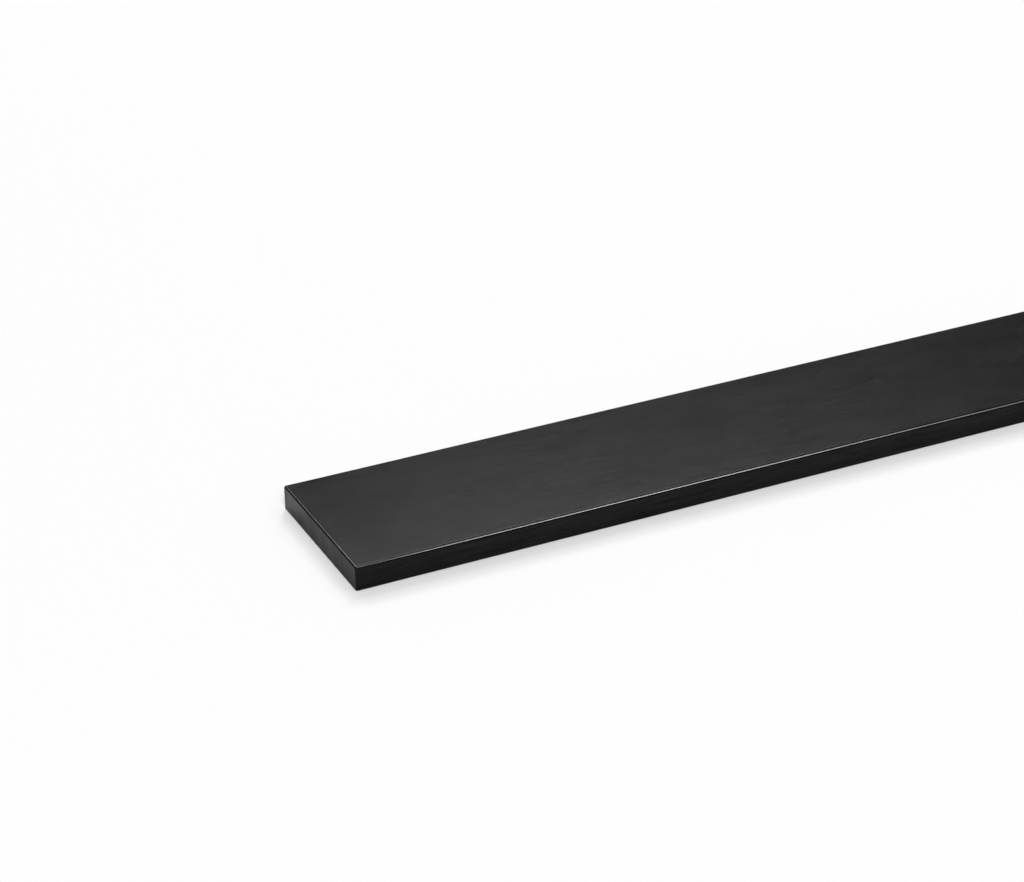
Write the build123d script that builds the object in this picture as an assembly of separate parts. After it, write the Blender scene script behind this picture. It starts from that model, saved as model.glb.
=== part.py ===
from build123d import *
import os

# Flat bar: a solid rectangular extrusion sold as cut-to-length stock.
#
# The bar lies on one wide face. +X runs along its length, +Y across its width and +Z up through its
# thickness. The origin is the middle of the face that it lies on.
#
# The whole bar is one solid. The die leaves a small radius on each of the four long edges. Each end is
# sawn square, and the rim of the saw cut is broken with a fine chamfer that follows the rounded section.
# All sizes are in millimetres.

# Driving dimensions
BAR_LENGTH = 1000.0
BAR_WIDTH = 40.0
BAR_THICKNESS = 6.0
LONG_EDGE_RADIUS = 0.8
END_CHAMFER = 0.35


def bar_section():
    """The extruded section: the bar's width and thickness, with its four rounded long edges."""
    on_the_ground = Plane.YZ.offset(-BAR_LENGTH / 2) * Pos(0, BAR_THICKNESS / 2)
    return on_the_ground * RectangleRounded(BAR_WIDTH, BAR_THICKNESS, LONG_EDGE_RADIUS)


def sawn_bar():
    """The section drawn out along +X and sawn square at both ends."""
    return extrude(bar_section(), amount=BAR_LENGTH)


def broken_end_rims(bar):
    """The bar with the rim of each sawn end chamfered, all the way round the section."""
    faces_along_the_bar = bar.faces().sort_by(Axis.X)
    rims = faces_along_the_bar[0].edges() + faces_along_the_bar[-1].edges()
    return chamfer(rims, length=END_CHAMFER)


flat_bar = broken_end_rims(sawn_bar())

os.makedirs("parts", exist_ok=True)
export_step(flat_bar, "parts/flat_bar.step")
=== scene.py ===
import math

import bmesh
import bpy
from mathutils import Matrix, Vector, noise


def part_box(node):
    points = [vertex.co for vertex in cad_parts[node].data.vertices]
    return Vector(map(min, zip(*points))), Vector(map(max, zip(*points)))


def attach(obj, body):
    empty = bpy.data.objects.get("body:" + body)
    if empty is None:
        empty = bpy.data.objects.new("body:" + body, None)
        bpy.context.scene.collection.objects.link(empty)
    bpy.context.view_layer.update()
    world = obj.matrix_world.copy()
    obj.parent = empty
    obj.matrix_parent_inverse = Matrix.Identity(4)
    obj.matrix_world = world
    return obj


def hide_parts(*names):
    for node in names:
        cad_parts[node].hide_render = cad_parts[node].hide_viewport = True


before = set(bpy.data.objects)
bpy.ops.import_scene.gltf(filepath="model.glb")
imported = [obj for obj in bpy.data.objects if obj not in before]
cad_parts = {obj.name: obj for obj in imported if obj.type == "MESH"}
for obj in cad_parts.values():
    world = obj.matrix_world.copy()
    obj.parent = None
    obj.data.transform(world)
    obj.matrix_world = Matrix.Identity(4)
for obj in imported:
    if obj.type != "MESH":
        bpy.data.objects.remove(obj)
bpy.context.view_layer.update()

# A black anodised flat bar lies on a pale studio floor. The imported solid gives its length, width and
# thickness. The piece made here adds what the solid leaves plain: the play in the shoulders that the
# brushing belt rolls along the long edges, the small radii of the filed rims, the lean of the saw cut and
# the blade's marks on the cut faces. Lengths are in metres, as the frame's are.

MM = 0.001

# ------------------------------------------------------------------------------------ the bar's measures
BAR_LOW, BAR_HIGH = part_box("flat_bar")
BAR_LENGTH, BAR_WIDTH, BAR_THICKNESS = BAR_HIGH - BAR_LOW
MID_HEIGHT = (BAR_LOW.z + BAR_HIGH.z) / 2

SHOULDER_REACH = 0.80 * MM              # how far a rolled shoulder runs in over the wide face
SHOULDER_DROP = 0.80 * MM               # how far it runs down the narrow face
SHOULDER_FULLNESS = 2.0                 # 2 is an ellipse, and more is squarer
SHOULDER_STEPS = 14
UNDERSIDE_SHARE = 0.45                  # the size of the underside's edges, as a share of the top ones'
SHARPEST = 0.02 * MM                    # the least roundness that is left anywhere
BELT_PLAY = 0.06                        # the share by which a shoulder's size varies
BELT_WANDER = 45 * MM                   # the length over which it varies
END_TIGHTENING = 0.2                    # the share by which a shoulder is smaller at the sawn ends
END_TIGHTENING_LENGTH = 9 * MM          # the length over which that dies away

RIM_TOP_RADIUS = 0.25 * MM              # where a filed rim leaves the bar's sides
RIM_SLOPE = math.radians(45)            # how the file was held to the bar's sides
RIM_FLAT = 0.32 * MM                    # the width of the slope that it cut
RIM_SAWN_RADIUS = 0.12 * MM             # where it meets the sawn face
RIM_STEPS = 6                           # divisions of each radius

FACE_COLUMNS = 150                      # divisions over a wide face, which the sawn faces share
SIDE_ROWS = 18                          # divisions over a narrow face, which they share too
STATIONS = 100                          # lengths between the two rims, closest together at the ends

SAW_LEAN = 0.12 * MM                    # how much further in the saw cut is at the bar's underside
SAW_LEAN_FADE = 10 * MM                 # the length of the bar whose sections follow the cut's lean
BLADE_CENTRE = (190 * MM, 60 * MM)      # (y, z) of the blade's axle, behind the bar
BLADE_MARK_PITCH = 2.3 * MM
BLADE_MARK_DEPTH = 0.006 * MM
BLADE_MARK_BREAKS = 3                   # how often a mark changes in depth, for each radian of its arc
BLADE_MARK_MARGIN = 0.5 * MM            # the marks fade out this near to the rim

# The flat layout that a baked finish uses: the bar's sides unrolled below, and the sawn faces above them.
LAYOUT = "OFBake"
LAYOUT_SIDES = (0.003, 0.88)            # the heights between which the unrolled sides lie
LAYOUT_NEAR_END = (0.90, 0.943)         # and the near sawn face
LAYOUT_FAR_END = (0.955, 0.997)         # and the far one
LAYOUT_RIM = 0.01                       # the share of its width that each rim has


# ----------------------------------------------------------------------------------------- the bar's mesh
def smooth(low, high, value):
    """0 below low, 1 above high and a soft rise between them."""
    share = min(max((value - low) / (high - low), 0), 1)
    return share * share * (3 - 2 * share)


def rounded(step, steps, fullness):
    """Shares of a corner's two sides, from (1, 0) to (0, 1), at a step round it."""
    turn = 0.5 * math.pi * step / steps
    return max(math.cos(turn), 0) ** (2 / fullness), math.sin(turn) ** (2 / fullness)


def roll(along):
    """How large a shoulder is at a distance along the bar, as a share of its usual size."""
    belt = 1 + BELT_PLAY * noise.noise(Vector((along / BELT_WANDER, 0, 0)))
    to_end = min(along, BAR_LENGTH - along)
    return belt * (1 - END_TIGHTENING * math.exp(-to_end / END_TIGHTENING_LENGTH))


def shoulder(inset, size, quarter):
    """(y, z) points round one rolled shoulder, anticlockwise as seen from the far end."""
    back = 1 if quarter in (0, 3) else -1
    top = 1 if quarter in (0, 1) else -1
    share = 1 if top > 0 else UNDERSIDE_SHARE
    reach = max(SHOULDER_REACH * size * share - inset, SHARPEST)
    drop = max((SHOULDER_DROP * size - inset) * share, SHARPEST)
    points = []
    for step in range(SHOULDER_STEPS + 1):
        out, up = rounded(step, SHOULDER_STEPS, SHOULDER_FULLNESS)
        y = BAR_WIDTH / 2 - inset - reach * (1 - out)
        z = BAR_THICKNESS / 2 - inset * share - drop * (1 - up)
        points.append((back * y, top * z + MID_HEIGHT))
    return points if back == top else points[::-1]


def between(start, end, parts):
    """The points that divide a straight stretch into equal parts, without its two ends."""
    shares = [n / parts for n in range(1, parts)]
    return [tuple(a + (b - a) * share for a, b in zip(start, end)) for share in shares]


def section(inset, size):
    """The bar's outline, drawn in by an inset: (y, z) points once round, from the top of the back face."""
    shoulders = [shoulder(inset, size, quarter) for quarter in range(4)]
    points = []
    for quarter, corner in enumerate(shoulders):
        following = shoulders[(quarter + 1) % 4]
        parts = FACE_COLUMNS if quarter % 2 == 0 else SIDE_ROWS
        points += corner + between(corner[-1], following[0], parts)
    return points


def filed_rim():
    """(distance along the bar, inset) of each ring round a rim, from the sawn face to the bar's side."""
    arc = [RIM_SLOPE * step / RIM_STEPS for step in range(RIM_STEPS + 1)]
    low = [(RIM_SAWN_RADIUS * (1 - math.cos(turn)), -RIM_SAWN_RADIUS * math.sin(turn)) for turn in arc]
    slope = RIM_FLAT * math.sin(RIM_SLOPE)
    start = low[-1][0] + slope, low[-1][1] - slope
    turned = [RIM_SLOPE - turn for turn in arc]
    along = start[0] + RIM_TOP_RADIUS * math.sin(RIM_SLOPE)
    side = start[1] - RIM_TOP_RADIUS * (1 - math.cos(RIM_SLOPE))
    high = [(along - RIM_TOP_RADIUS * math.sin(turn), side + RIM_TOP_RADIUS * (1 - math.cos(turn)))
            for turn in turned]
    return [(place, inset - side) for place, inset in low + high]


def ring_places():
    """(distance from the near sawn face, inset) of every section along the bar."""
    rim = filed_rim()
    clear = BAR_LENGTH - 2 * rim[-1][0]
    shares = [0.5 - 0.5 * math.cos(math.pi * n / STATIONS) for n in range(1, STATIONS)]
    body = [(rim[-1][0] + clear * share, 0) for share in shares]
    return rim + body + [(BAR_LENGTH - along, inset) for along, inset in reversed(rim)]


def leaned(along, z):
    """A distance along the bar, moved in at a height by the lean of the nearer saw cut."""
    near = 1 - smooth(0, SAW_LEAN_FADE, along)
    far = 1 - smooth(0, SAW_LEAN_FADE, BAR_LENGTH - along)
    return along + SAW_LEAN * (near - far) * (BAR_HIGH.z - z) / BAR_THICKNESS


def blade_mark(y, z):
    """How deep the blade scored a sawn face at (y, z): arcs about its axle, fading out at the rim."""
    across, up = y - BLADE_CENTRE[0], z - BLADE_CENTRE[1]
    radius, sweep = math.hypot(across, up), math.atan2(up, across)
    score = noise.noise(Vector((radius / BLADE_MARK_PITCH, BLADE_MARK_BREAKS * sweep, 0)))
    room = min(BAR_WIDTH / 2 - abs(y), BAR_THICKNESS / 2 - abs(z - MID_HEIGHT)) - filed_rim()[0][1]
    return BLADE_MARK_DEPTH * (0.5 + 0.5 * score) * smooth(0, BLADE_MARK_MARGIN, room)


def within(band, share):
    """What lies at a share of the way from the start of a band to its end."""
    return band[0] + (band[1] - band[0]) * share


def laid_along(along):
    """Where a distance along the bar comes in the flat layout, from 0 to 1."""
    rim = filed_rim()[-1][0]
    if along > BAR_LENGTH / 2:
        return 1 - laid_along(BAR_LENGTH - along)
    if along < rim:
        return LAYOUT_RIM * along / rim
    return within((LAYOUT_RIM, 0.5), (along - rim) / (BAR_LENGTH / 2 - rim))


def laid_round(points):
    """How far round the outline each point comes, from 0 to 1, and 1 for the first point again."""
    steps = [math.dist(one, two) for one, two in zip(points, points[1:] + points[:1])]
    return [sum(steps[:n]) / sum(steps) for n in range(len(steps) + 1)]


def lay_out_end(mesh, faces, band):
    """Lays a sawn face across the flat layout, between two heights."""
    layout = mesh.loops.layers.uv[LAYOUT]
    for face in faces:
        for loop in face.loops:
            across = (loop.vert.co.y - BAR_LOW.y) / BAR_WIDTH
            up = (loop.vert.co.z - BAR_LOW.z) / BAR_THICKNESS
            loop[layout].uv = (across, within(band, up))


def sawn_face(mesh, ring, inward):
    """Fills a ring of vertices with a grid, each column of which joins the top outline to the bottom one.

    Inward is 1 where the bar lies towards +X from the cut, and -1 where it lies towards -X.
    """
    columns = FACE_COLUMNS + 2 * SHOULDER_STEPS + 1
    top = ring[:columns]
    bottom = ring[columns + SIDE_ROWS - 1:][:columns][::-1]
    front = [top[-1]] + ring[columns:columns + SIDE_ROWS - 1] + [bottom[-1]]
    back = [bottom[0]] + ring[2 * columns + SIDE_ROWS - 1:] + [top[0]]
    grid = [back[::-1]]
    for upper, lower in zip(top[1:-1], bottom[1:-1]):
        column = [upper]
        for n in range(1, SIDE_ROWS):
            place = upper.co.lerp(lower.co, n / SIDE_ROWS)
            place.x += inward * blade_mark(place.y, place.z)
            column.append(mesh.verts.new(place))
        grid.append(column + [lower])
    grid.append(front)
    faces = []
    for one, two in zip(grid, grid[1:]):
        for n in range(SIDE_ROWS):
            corners = (one[n], one[n + 1], two[n + 1], two[n])
            faces.append(mesh.faces.new(corners if inward > 0 else corners[::-1]))
    return faces


def bar_mesh():
    """The whole bar: its rings joined up along its length, and a sawn face at each end."""
    mesh = bmesh.new()
    layout = mesh.loops.layers.uv.new(LAYOUT)
    turns = laid_round(section(0, 1))
    rings = []
    for along, inset in ring_places():
        outline = section(inset, roll(along))
        ring = [mesh.verts.new((BAR_LOW.x + leaned(along, z), y, z)) for y, z in outline]
        rings.append((laid_along(along), ring))
    for (near, one), (far, two) in zip(rings, rings[1:]):
        for n in range(len(one)):
            following = (n + 1) % len(one)
            face = mesh.faces.new((one[n], one[following], two[following], two[n]))
            low, high = within(LAYOUT_SIDES, turns[n]), within(LAYOUT_SIDES, turns[n + 1])
            for loop, spot in zip(face.loops, ((near, low), (near, high), (far, high), (far, low))):
                loop[layout].uv = spot
    near_end = sawn_face(mesh, rings[0][1], 1)
    far_end = sawn_face(mesh, rings[-1][1], -1)
    lay_out_end(mesh, near_end, LAYOUT_NEAR_END)
    lay_out_end(mesh, far_end, LAYOUT_FAR_END)
    for face in mesh.faces:
        face.smooth = True
    for face in near_end + far_end:
        face.material_index = 1
    return mesh


def dressed_bar():
    """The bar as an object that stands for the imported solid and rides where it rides."""
    mesh = bar_mesh()
    data = bpy.data.meshes.new("brushed_flat_bar")
    mesh.to_mesh(data)
    mesh.free()
    piece = bpy.data.objects.new("brushed_flat_bar", data)
    bpy.context.collection.objects.link(piece)
    data.materials.append(brushed_finish())
    data.materials.append(sawn_finish())
    piece.modifiers.new("flat faces stay flat", "WEIGHTED_NORMAL")
    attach(piece, "root")
    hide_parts("flat_bar")
    return piece


# ---------------------------------------------------------------------------------------- shader writing
SOFT_LAYERS = (2.0, 0.5)                # how many finer layers a grain has, and how strong each is beside
CRISP_LAYERS = (3.0, 0.6)               # the one before it


class Value:
    """A number that a shader works out. Arithmetic on it adds Math nodes to the shader."""

    def __init__(self, shader, socket):
        self.shader = shader
        self.socket = socket

    def maths(self, operation, *terms):
        return self.shader.node("ShaderNodeMath", {"operation": operation}, dict(enumerate(terms)))

    def __add__(self, other):
        return self.maths("ADD", self, other)

    def __radd__(self, other):
        return self.maths("ADD", other, self)

    def __sub__(self, other):
        return self.maths("SUBTRACT", self, other)

    def __rsub__(self, other):
        return self.maths("SUBTRACT", other, self)

    def __mul__(self, other):
        return self.maths("MULTIPLY", self, other)

    def __rmul__(self, other):
        return self.maths("MULTIPLY", other, self)

    def __abs__(self):
        return self.maths("ABSOLUTE", self)


class Shader:
    """The node tree of one material, or of the world."""

    def __init__(self, owner):
        owner.use_nodes = True
        self.tree = owner.node_tree
        self.tree.nodes.clear()

    def node(self, kind, settings=None, sockets=None, output=0):
        """Adds a node: its settings first, then its sockets' numbers or links. Returns one output."""
        made = self.tree.nodes.new(kind)
        for name, setting in (settings or {}).items():
            setattr(made, name, setting)
        for name, value in (sockets or {}).items():
            if isinstance(value, Value):
                self.tree.links.new(value.socket, made.inputs[name])
            else:
                made.inputs[name].default_value = value
        return Value(self, made.outputs[output]) if len(made.outputs) else None

    def place(self):
        """The point being shaded, in the bar's own frame."""
        return self.node("ShaderNodeTexCoord", output="Object")

    def facing(self):
        """Which way the surface faces, in the bar's own frame."""
        return self.node("ShaderNodeTexCoord", output="Normal")

    def axes(self, vector):
        """A vector's x, y and z."""
        kind = "ShaderNodeSeparateXYZ"
        return [self.node(kind, sockets={"Vector": vector}, output=n) for n in range(3)]

    def scaled(self, vector, lengths):
        """A vector measured in a length of its own along each axis."""
        sockets = {0: vector, 1: tuple(1 / length for length in lengths)}
        return self.node("ShaderNodeVectorMath", {"operation": "MULTIPLY"}, sockets)

    def grain(self, vector, lengths, layers=SOFT_LAYERS):
        """Noise about zero, from -1 to 1, whose patches have these lengths along the axes."""
        detail, strength = layers
        sockets = {"Vector": self.scaled(vector, lengths), "Scale": 1.0}
        sockets.update({"Detail": detail, "Roughness": strength})
        return 2 * self.node("ShaderNodeTexNoise", sockets=sockets) - 1

    def rise(self, value, low, high):
        """0 below low, 1 above high and a soft rise between them."""
        settings = {"interpolation_type": "SMOOTHSTEP"}
        sockets = {"Value": value, "From Min": low, "From Max": high}
        return self.node("ShaderNodeMapRange", settings, sockets)

    def mix(self, share, first, second):
        """A number that goes from the first to the second as the share goes from 0 to 1."""
        return first + (second - first) * share

    def most(self, first, second):
        """The larger of two numbers."""
        return first.maths("MAXIMUM", first, second)

    def grey(self, level):
        return self.node("ShaderNodeCombineColor", sockets={"Red": level, "Green": level, "Blue": level})

    def bump(self, height, distance):
        return self.node("ShaderNodeBump", sockets={"Height": height, "Distance": distance})

    def finish(self, kind, surface):
        self.node(kind, sockets={"Surface": surface})


# ------------------------------------------------------------------------------------- the bar's finishes
ANODISED_BLACK = 0.0140
FACE_ROUGHNESS = 0.225
WEAR_AND_GLINT_TONE = 0.14                    # the turn of an edge: partly polished by handling, partly a painted highlight where the lamps glint
WEAR_AND_GLINT_ROUGHNESS = 0.17
WEAR_AND_GLINT_LOW = (0.50, 0.60)                  # how far up a long edge faces where the brighter band, wear and painted highlight, starts
WEAR_AND_GLINT_HIGH = (0.79, 0.87)                 # and where it ends
WEAR_AND_GLINT_CLIMB = 0.12                        # how much further up it lies at a sawn end,
WEAR_AND_GLINT_START = (4 * MM, 20 * MM)           # and the distances from the end over which it comes down
WEAR_AND_GLINT_LEAST = 0.50                        # the share of it that reaches the end
WEAR_AND_GLINT_RIM_FOOT = (0.04, 0.09)             # how far endways a filed rim faces where its brighter band, wear and painted highlight, starts
WEAR_AND_GLINT_RIM_TOP = (0.30, 0.38)              # and where that ends

STREAK_SIZE = (9 * MM, 0.32 * MM, 0.32 * MM)            # the brushing's scratches,
MOTTLE_SIZE = (2.5 * MM, 1.2 * MM, 1.2 * MM)            # the unevenness of the anodising
CLOUD_SIZE = (14 * MM, 7 * MM, 7 * MM)                  # and its broad patches
STREAK_TONE = 0.90                      # the shares by which each varies the anodising's tone
MOTTLE_TONE = 0.15
CLOUD_TONE = 0.20
STREAK_ROUGHNESS = 0.04                 # and how much they add to its roughness
MOTTLE_ROUGHNESS = 0.04
CLOUD_ROUGHNESS = 0.02
BRUSH_DEPTH = 0.001 * MM
END_LIGHTENING = 0.35                         # how much lighter the wide faces are at a sawn end,
END_LIGHTENING_REACH = (1 * MM, 8 * MM)       # and the distances from it over which that dies away

SAWN_TONE = 0.0130
SAWN_STREAK_SIZE = (1.0, 0.2 * MM, 6 * MM)              # the file's upright strokes, the same at any depth
SAWN_STREAK_TONE = 0.1
SAWN_STREAK_ROUGHNESS = 0.03
SAWN_STREAK_DEPTH = 0.0005 * MM
SAWN_BAND_SIZE = (1.0, 3.0 * MM, 9 * MM)                # the duller and brighter stretches between them
SAWN_BAND_ROUGHNESS = 0.12
SAWN_FOOT = (2 * MM, 5 * MM)            # how far below the top the face grows duller,
SAWN_FOOT_ROUGHNESS = 0.05              # and by how much
SAWN_ROUGHNESS = (0.40, 0.50)           # in the top back corner of a sawn face, and over the rest of it
SAWN_TURN = (10 * MM, 22 * MM)          # how far from that corner the one gives way to the other
SAWN_TILT = 2.6                         # the mm across that count as much as one mm down


def metal(shader, tone, roughness, normal):
    """Anodised metal: its tone is how much it mirrors head on."""
    sockets = {"Base Color": shader.grey(tone), "Metallic": 1.0, "Roughness": roughness, "Normal": normal}
    return shader.node("ShaderNodeBsdfPrincipled", sockets=sockets)


def brushed_finish():
    """The bar's sides: black anodised over lengthwise brushing, with a brighter band along the top edges
    and rims that is partly wear from handling and partly a painted highlight where the lamps glint.
    """
    material = bpy.data.materials.new("black anodised brushing")
    shader = Shader(material)
    place = shader.place()
    endways, _, up = shader.axes(shader.facing())
    to_end = BAR_HIGH.x - abs(shader.axes(place)[0])
    inland = shader.rise(to_end, *WEAR_AND_GLINT_START)
    facing_up = up - WEAR_AND_GLINT_CLIMB * (1 - inland)
    # painted highlight: a brighter band only on upward-facing shoulders and rims, placed where the lamps
    # glint, and partly edge wear
    turning = shader.rise(facing_up, *WEAR_AND_GLINT_LOW)
    long_edge = (1 - shader.rise(facing_up, *WEAR_AND_GLINT_HIGH)) * shader.mix(inland, WEAR_AND_GLINT_LEAST, 1)
    rim = shader.rise(abs(endways), *WEAR_AND_GLINT_RIM_FOOT) * (1 - shader.rise(abs(endways), *WEAR_AND_GLINT_RIM_TOP))
    wear_and_glint = turning * shader.most(long_edge, rim)
    streaks = shader.grain(place, STREAK_SIZE, CRISP_LAYERS)
    mottles = shader.grain(place, MOTTLE_SIZE)
    clouds = shader.grain(place, CLOUD_SIZE)
    roughness = FACE_ROUGHNESS + STREAK_ROUGHNESS * streaks
    roughness = roughness + MOTTLE_ROUGHNESS * mottles + CLOUD_ROUGHNESS * clouds
    roughness = shader.mix(wear_and_glint, roughness, WEAR_AND_GLINT_ROUGHNESS)
    end_lightening = END_LIGHTENING * abs(up) * (1 - shader.rise(to_end, *END_LIGHTENING_REACH))
    tone = 1 + end_lightening + STREAK_TONE * streaks + MOTTLE_TONE * mottles + CLOUD_TONE * clouds
    # the painted highlight band's brighter tone, partly also edge wear
    tone = shader.mix(wear_and_glint, ANODISED_BLACK * tone, WEAR_AND_GLINT_TONE)
    surface = metal(shader, tone, roughness, shader.bump(streaks, BRUSH_DEPTH))
    shader.finish("ShaderNodeOutputMaterial", surface)
    return material


def sawn_finish():
    """The sawn faces: duller, with upright strokes, and smoothest in the top back corner."""
    material = bpy.data.materials.new("black anodised saw cut")
    shader = Shader(material)
    place = shader.place()
    streaks = shader.grain(place, SAWN_STREAK_SIZE, CRISP_LAYERS)
    bands = shader.grain(place, SAWN_BAND_SIZE)
    _, across, up = shader.axes(place)
    from_corner = (BAR_HIGH.y - across) + SAWN_TILT * (BAR_HIGH.z - up)
    dulled = shader.rise(from_corner, *SAWN_TURN)
    foot = shader.rise(BAR_HIGH.z - up, *SAWN_FOOT)
    roughness = shader.mix(dulled, SAWN_ROUGHNESS[0], SAWN_ROUGHNESS[1] + SAWN_FOOT_ROUGHNESS * foot)
    roughness = roughness + SAWN_STREAK_ROUGHNESS * streaks + SAWN_BAND_ROUGHNESS * bands
    tone = SAWN_TONE * (1 + SAWN_STREAK_TONE * streaks)
    surface = metal(shader, tone, roughness, shader.bump(streaks, SAWN_STREAK_DEPTH))
    shader.finish("ShaderNodeOutputMaterial", surface)
    return material


# --------------------------------------------------------------------------------------------- the studio
FLOOR_SIZE = 60.0
FLOOR_WHITE = 0.98

HORIZON_LEVEL = 1.0                     # how bright the surround is at the horizon,
WALL_LEVEL = 0.15                       # on its walls,
CEILING_LEVEL = 0.50                    # and overhead
WALL_FOOT = (1, 4)                      # degrees up over which the horizon gives way to the walls
WALL_TOP = (42, 60)                     # degrees up over which the walls give way to the ceiling

AIM = Vector((BAR_LOW.x + 60 * MM, 0, BAR_HIGH.z))      # where the lamps point

STRIP_BEARING = (30.5, 47.0)            # degrees right of +Y and degrees up
STRIP_DISTANCE = 2.7
STRIP_SIZE = (0.783, 1.39)
STRIP_LEVEL = 4.95                      # its face, where 1 is as bright as the white floor

FILL_BEARING = (-160, 45)
FILL_DISTANCE = 5.5
FILL_SIZE = (2.2, 2.2)
FILL_LEVEL = 11.8

RIM_BEARING = (2, 41.5)
RIM_DISTANCE = 5.4
RIM_SIZE = (1.60, 0.94)
RIM_LEVEL = 6.3

KEY_BEARING = (139.5, 48.7)
KEY_DISTANCE = 2.0
KEY_ANGLE = 9.0                         # the key's hot middle, in degrees across
KEY_GAIN = 0.061                        # what it adds to the floor's brightness
GLOW_ANGLE = 33.0                       # the softer light round it
GLOW_GAIN = 0.047


def floor():
    data = bpy.data.meshes.new("studio_floor")
    half = FLOOR_SIZE / 2
    corners = [(-half, -half, 0), (half, -half, 0), (half, half, 0), (-half, half, 0)]
    data.from_pydata(corners, [], [(0, 1, 2, 3)])
    piece = bpy.data.objects.new("studio_floor", data)
    bpy.context.collection.objects.link(piece)
    material = bpy.data.materials.new("white floor")
    shader = Shader(material)
    white = (FLOOR_WHITE, FLOOR_WHITE, FLOOR_WHITE, 1)
    surface = shader.node("ShaderNodeBsdfDiffuse", sockets={"Color": white})
    shader.finish("ShaderNodeOutputMaterial", surface)
    data.materials.append(material)
    return piece


def surround():
    world = bpy.data.worlds.new("studio surround")
    bpy.context.scene.world = world
    shader = Shader(world)
    height = shader.axes(shader.node("ShaderNodeTexCoord", output="Generated"))[2]
    foot, top = ([math.sin(math.radians(angle)) for angle in band] for band in (WALL_FOOT, WALL_TOP))
    level = shader.mix(shader.rise(height, *foot), HORIZON_LEVEL, WALL_LEVEL)
    level = shader.mix(shader.rise(height, *top), level, CEILING_LEVEL)
    sky = shader.node("ShaderNodeBackground", sockets={"Color": (1, 1, 1, 1), "Strength": level})
    shader.finish("ShaderNodeOutputWorld", sky)


def lamp(name, kind, bearing, distance):
    """A lamp that faces the bar from a bearing, and that the camera does not see."""
    across, up = (math.radians(angle) for angle in bearing)
    direction = Vector((math.sin(across) * math.cos(up), math.cos(across) * math.cos(up), math.sin(up)))
    data = bpy.data.lights.new(name, kind)
    holder = bpy.data.objects.new(name, data)
    bpy.context.collection.objects.link(holder)
    holder.rotation_mode = "QUATERNION"
    holder.rotation_quaternion = direction.to_track_quat("Z", "Y")
    holder.location = AIM + distance * direction
    holder.visible_camera = False
    return data


def panel(name, bearing, distance, size, level):
    """A flat rectangular lamp whose face is this bright."""
    data = lamp(name, "AREA", bearing, distance)
    data.shape = "RECTANGLE"
    data.size, data.size_y = size
    data.energy = level * math.pi * size[0] * size[1]


def key(name, angle, gain):
    """A round lamp, far off, that glints on the bar's shoulders and casts no shadow."""
    data = lamp(name, "SUN", KEY_BEARING, KEY_DISTANCE)
    data.energy = gain * math.pi
    data.angle = math.radians(angle)
    data.use_shadow = False


# --------------------------------------------------------------------------------------------- the camera
NEAR_CORNER = Vector((BAR_LOW.x, BAR_LOW.y, BAR_LOW.z))
CAMERA_FROM_CORNER = Vector((-0.21613, -0.51290, 0.34136))
CAMERA_HEADING = 26.294                 # degrees to the right of +Y
CAMERA_TILT = 28.725                    # degrees below level
PICTURE_WIDTH = 1024
SENSOR_WIDTH = 36
LENS = 3040.2 / PICTURE_WIDTH * SENSOR_WIDTH


def camera():
    data = bpy.data.cameras.new("camera")
    data.lens = LENS
    data.sensor_width = SENSOR_WIDTH
    data.clip_start = 0.01
    data.clip_end = 200
    eye = bpy.data.objects.new("camera", data)
    bpy.context.collection.objects.link(eye)
    eye.location = NEAR_CORNER + CAMERA_FROM_CORNER
    eye.rotation_euler = (math.radians(90 - CAMERA_TILT), 0, math.radians(-CAMERA_HEADING))
    bpy.context.scene.camera = eye


camera()
surround()
floor()
panel("strip panel", STRIP_BEARING, STRIP_DISTANCE, STRIP_SIZE, STRIP_LEVEL)
panel("fill panel", FILL_BEARING, FILL_DISTANCE, FILL_SIZE, FILL_LEVEL)
panel("rim panel", RIM_BEARING, RIM_DISTANCE, RIM_SIZE, RIM_LEVEL)
key("key", KEY_ANGLE, KEY_GAIN)
key("glow round the key", GLOW_ANGLE, GLOW_GAIN)
dressed_bar()
bpy.context.scene.view_settings.view_transform = "Standard"
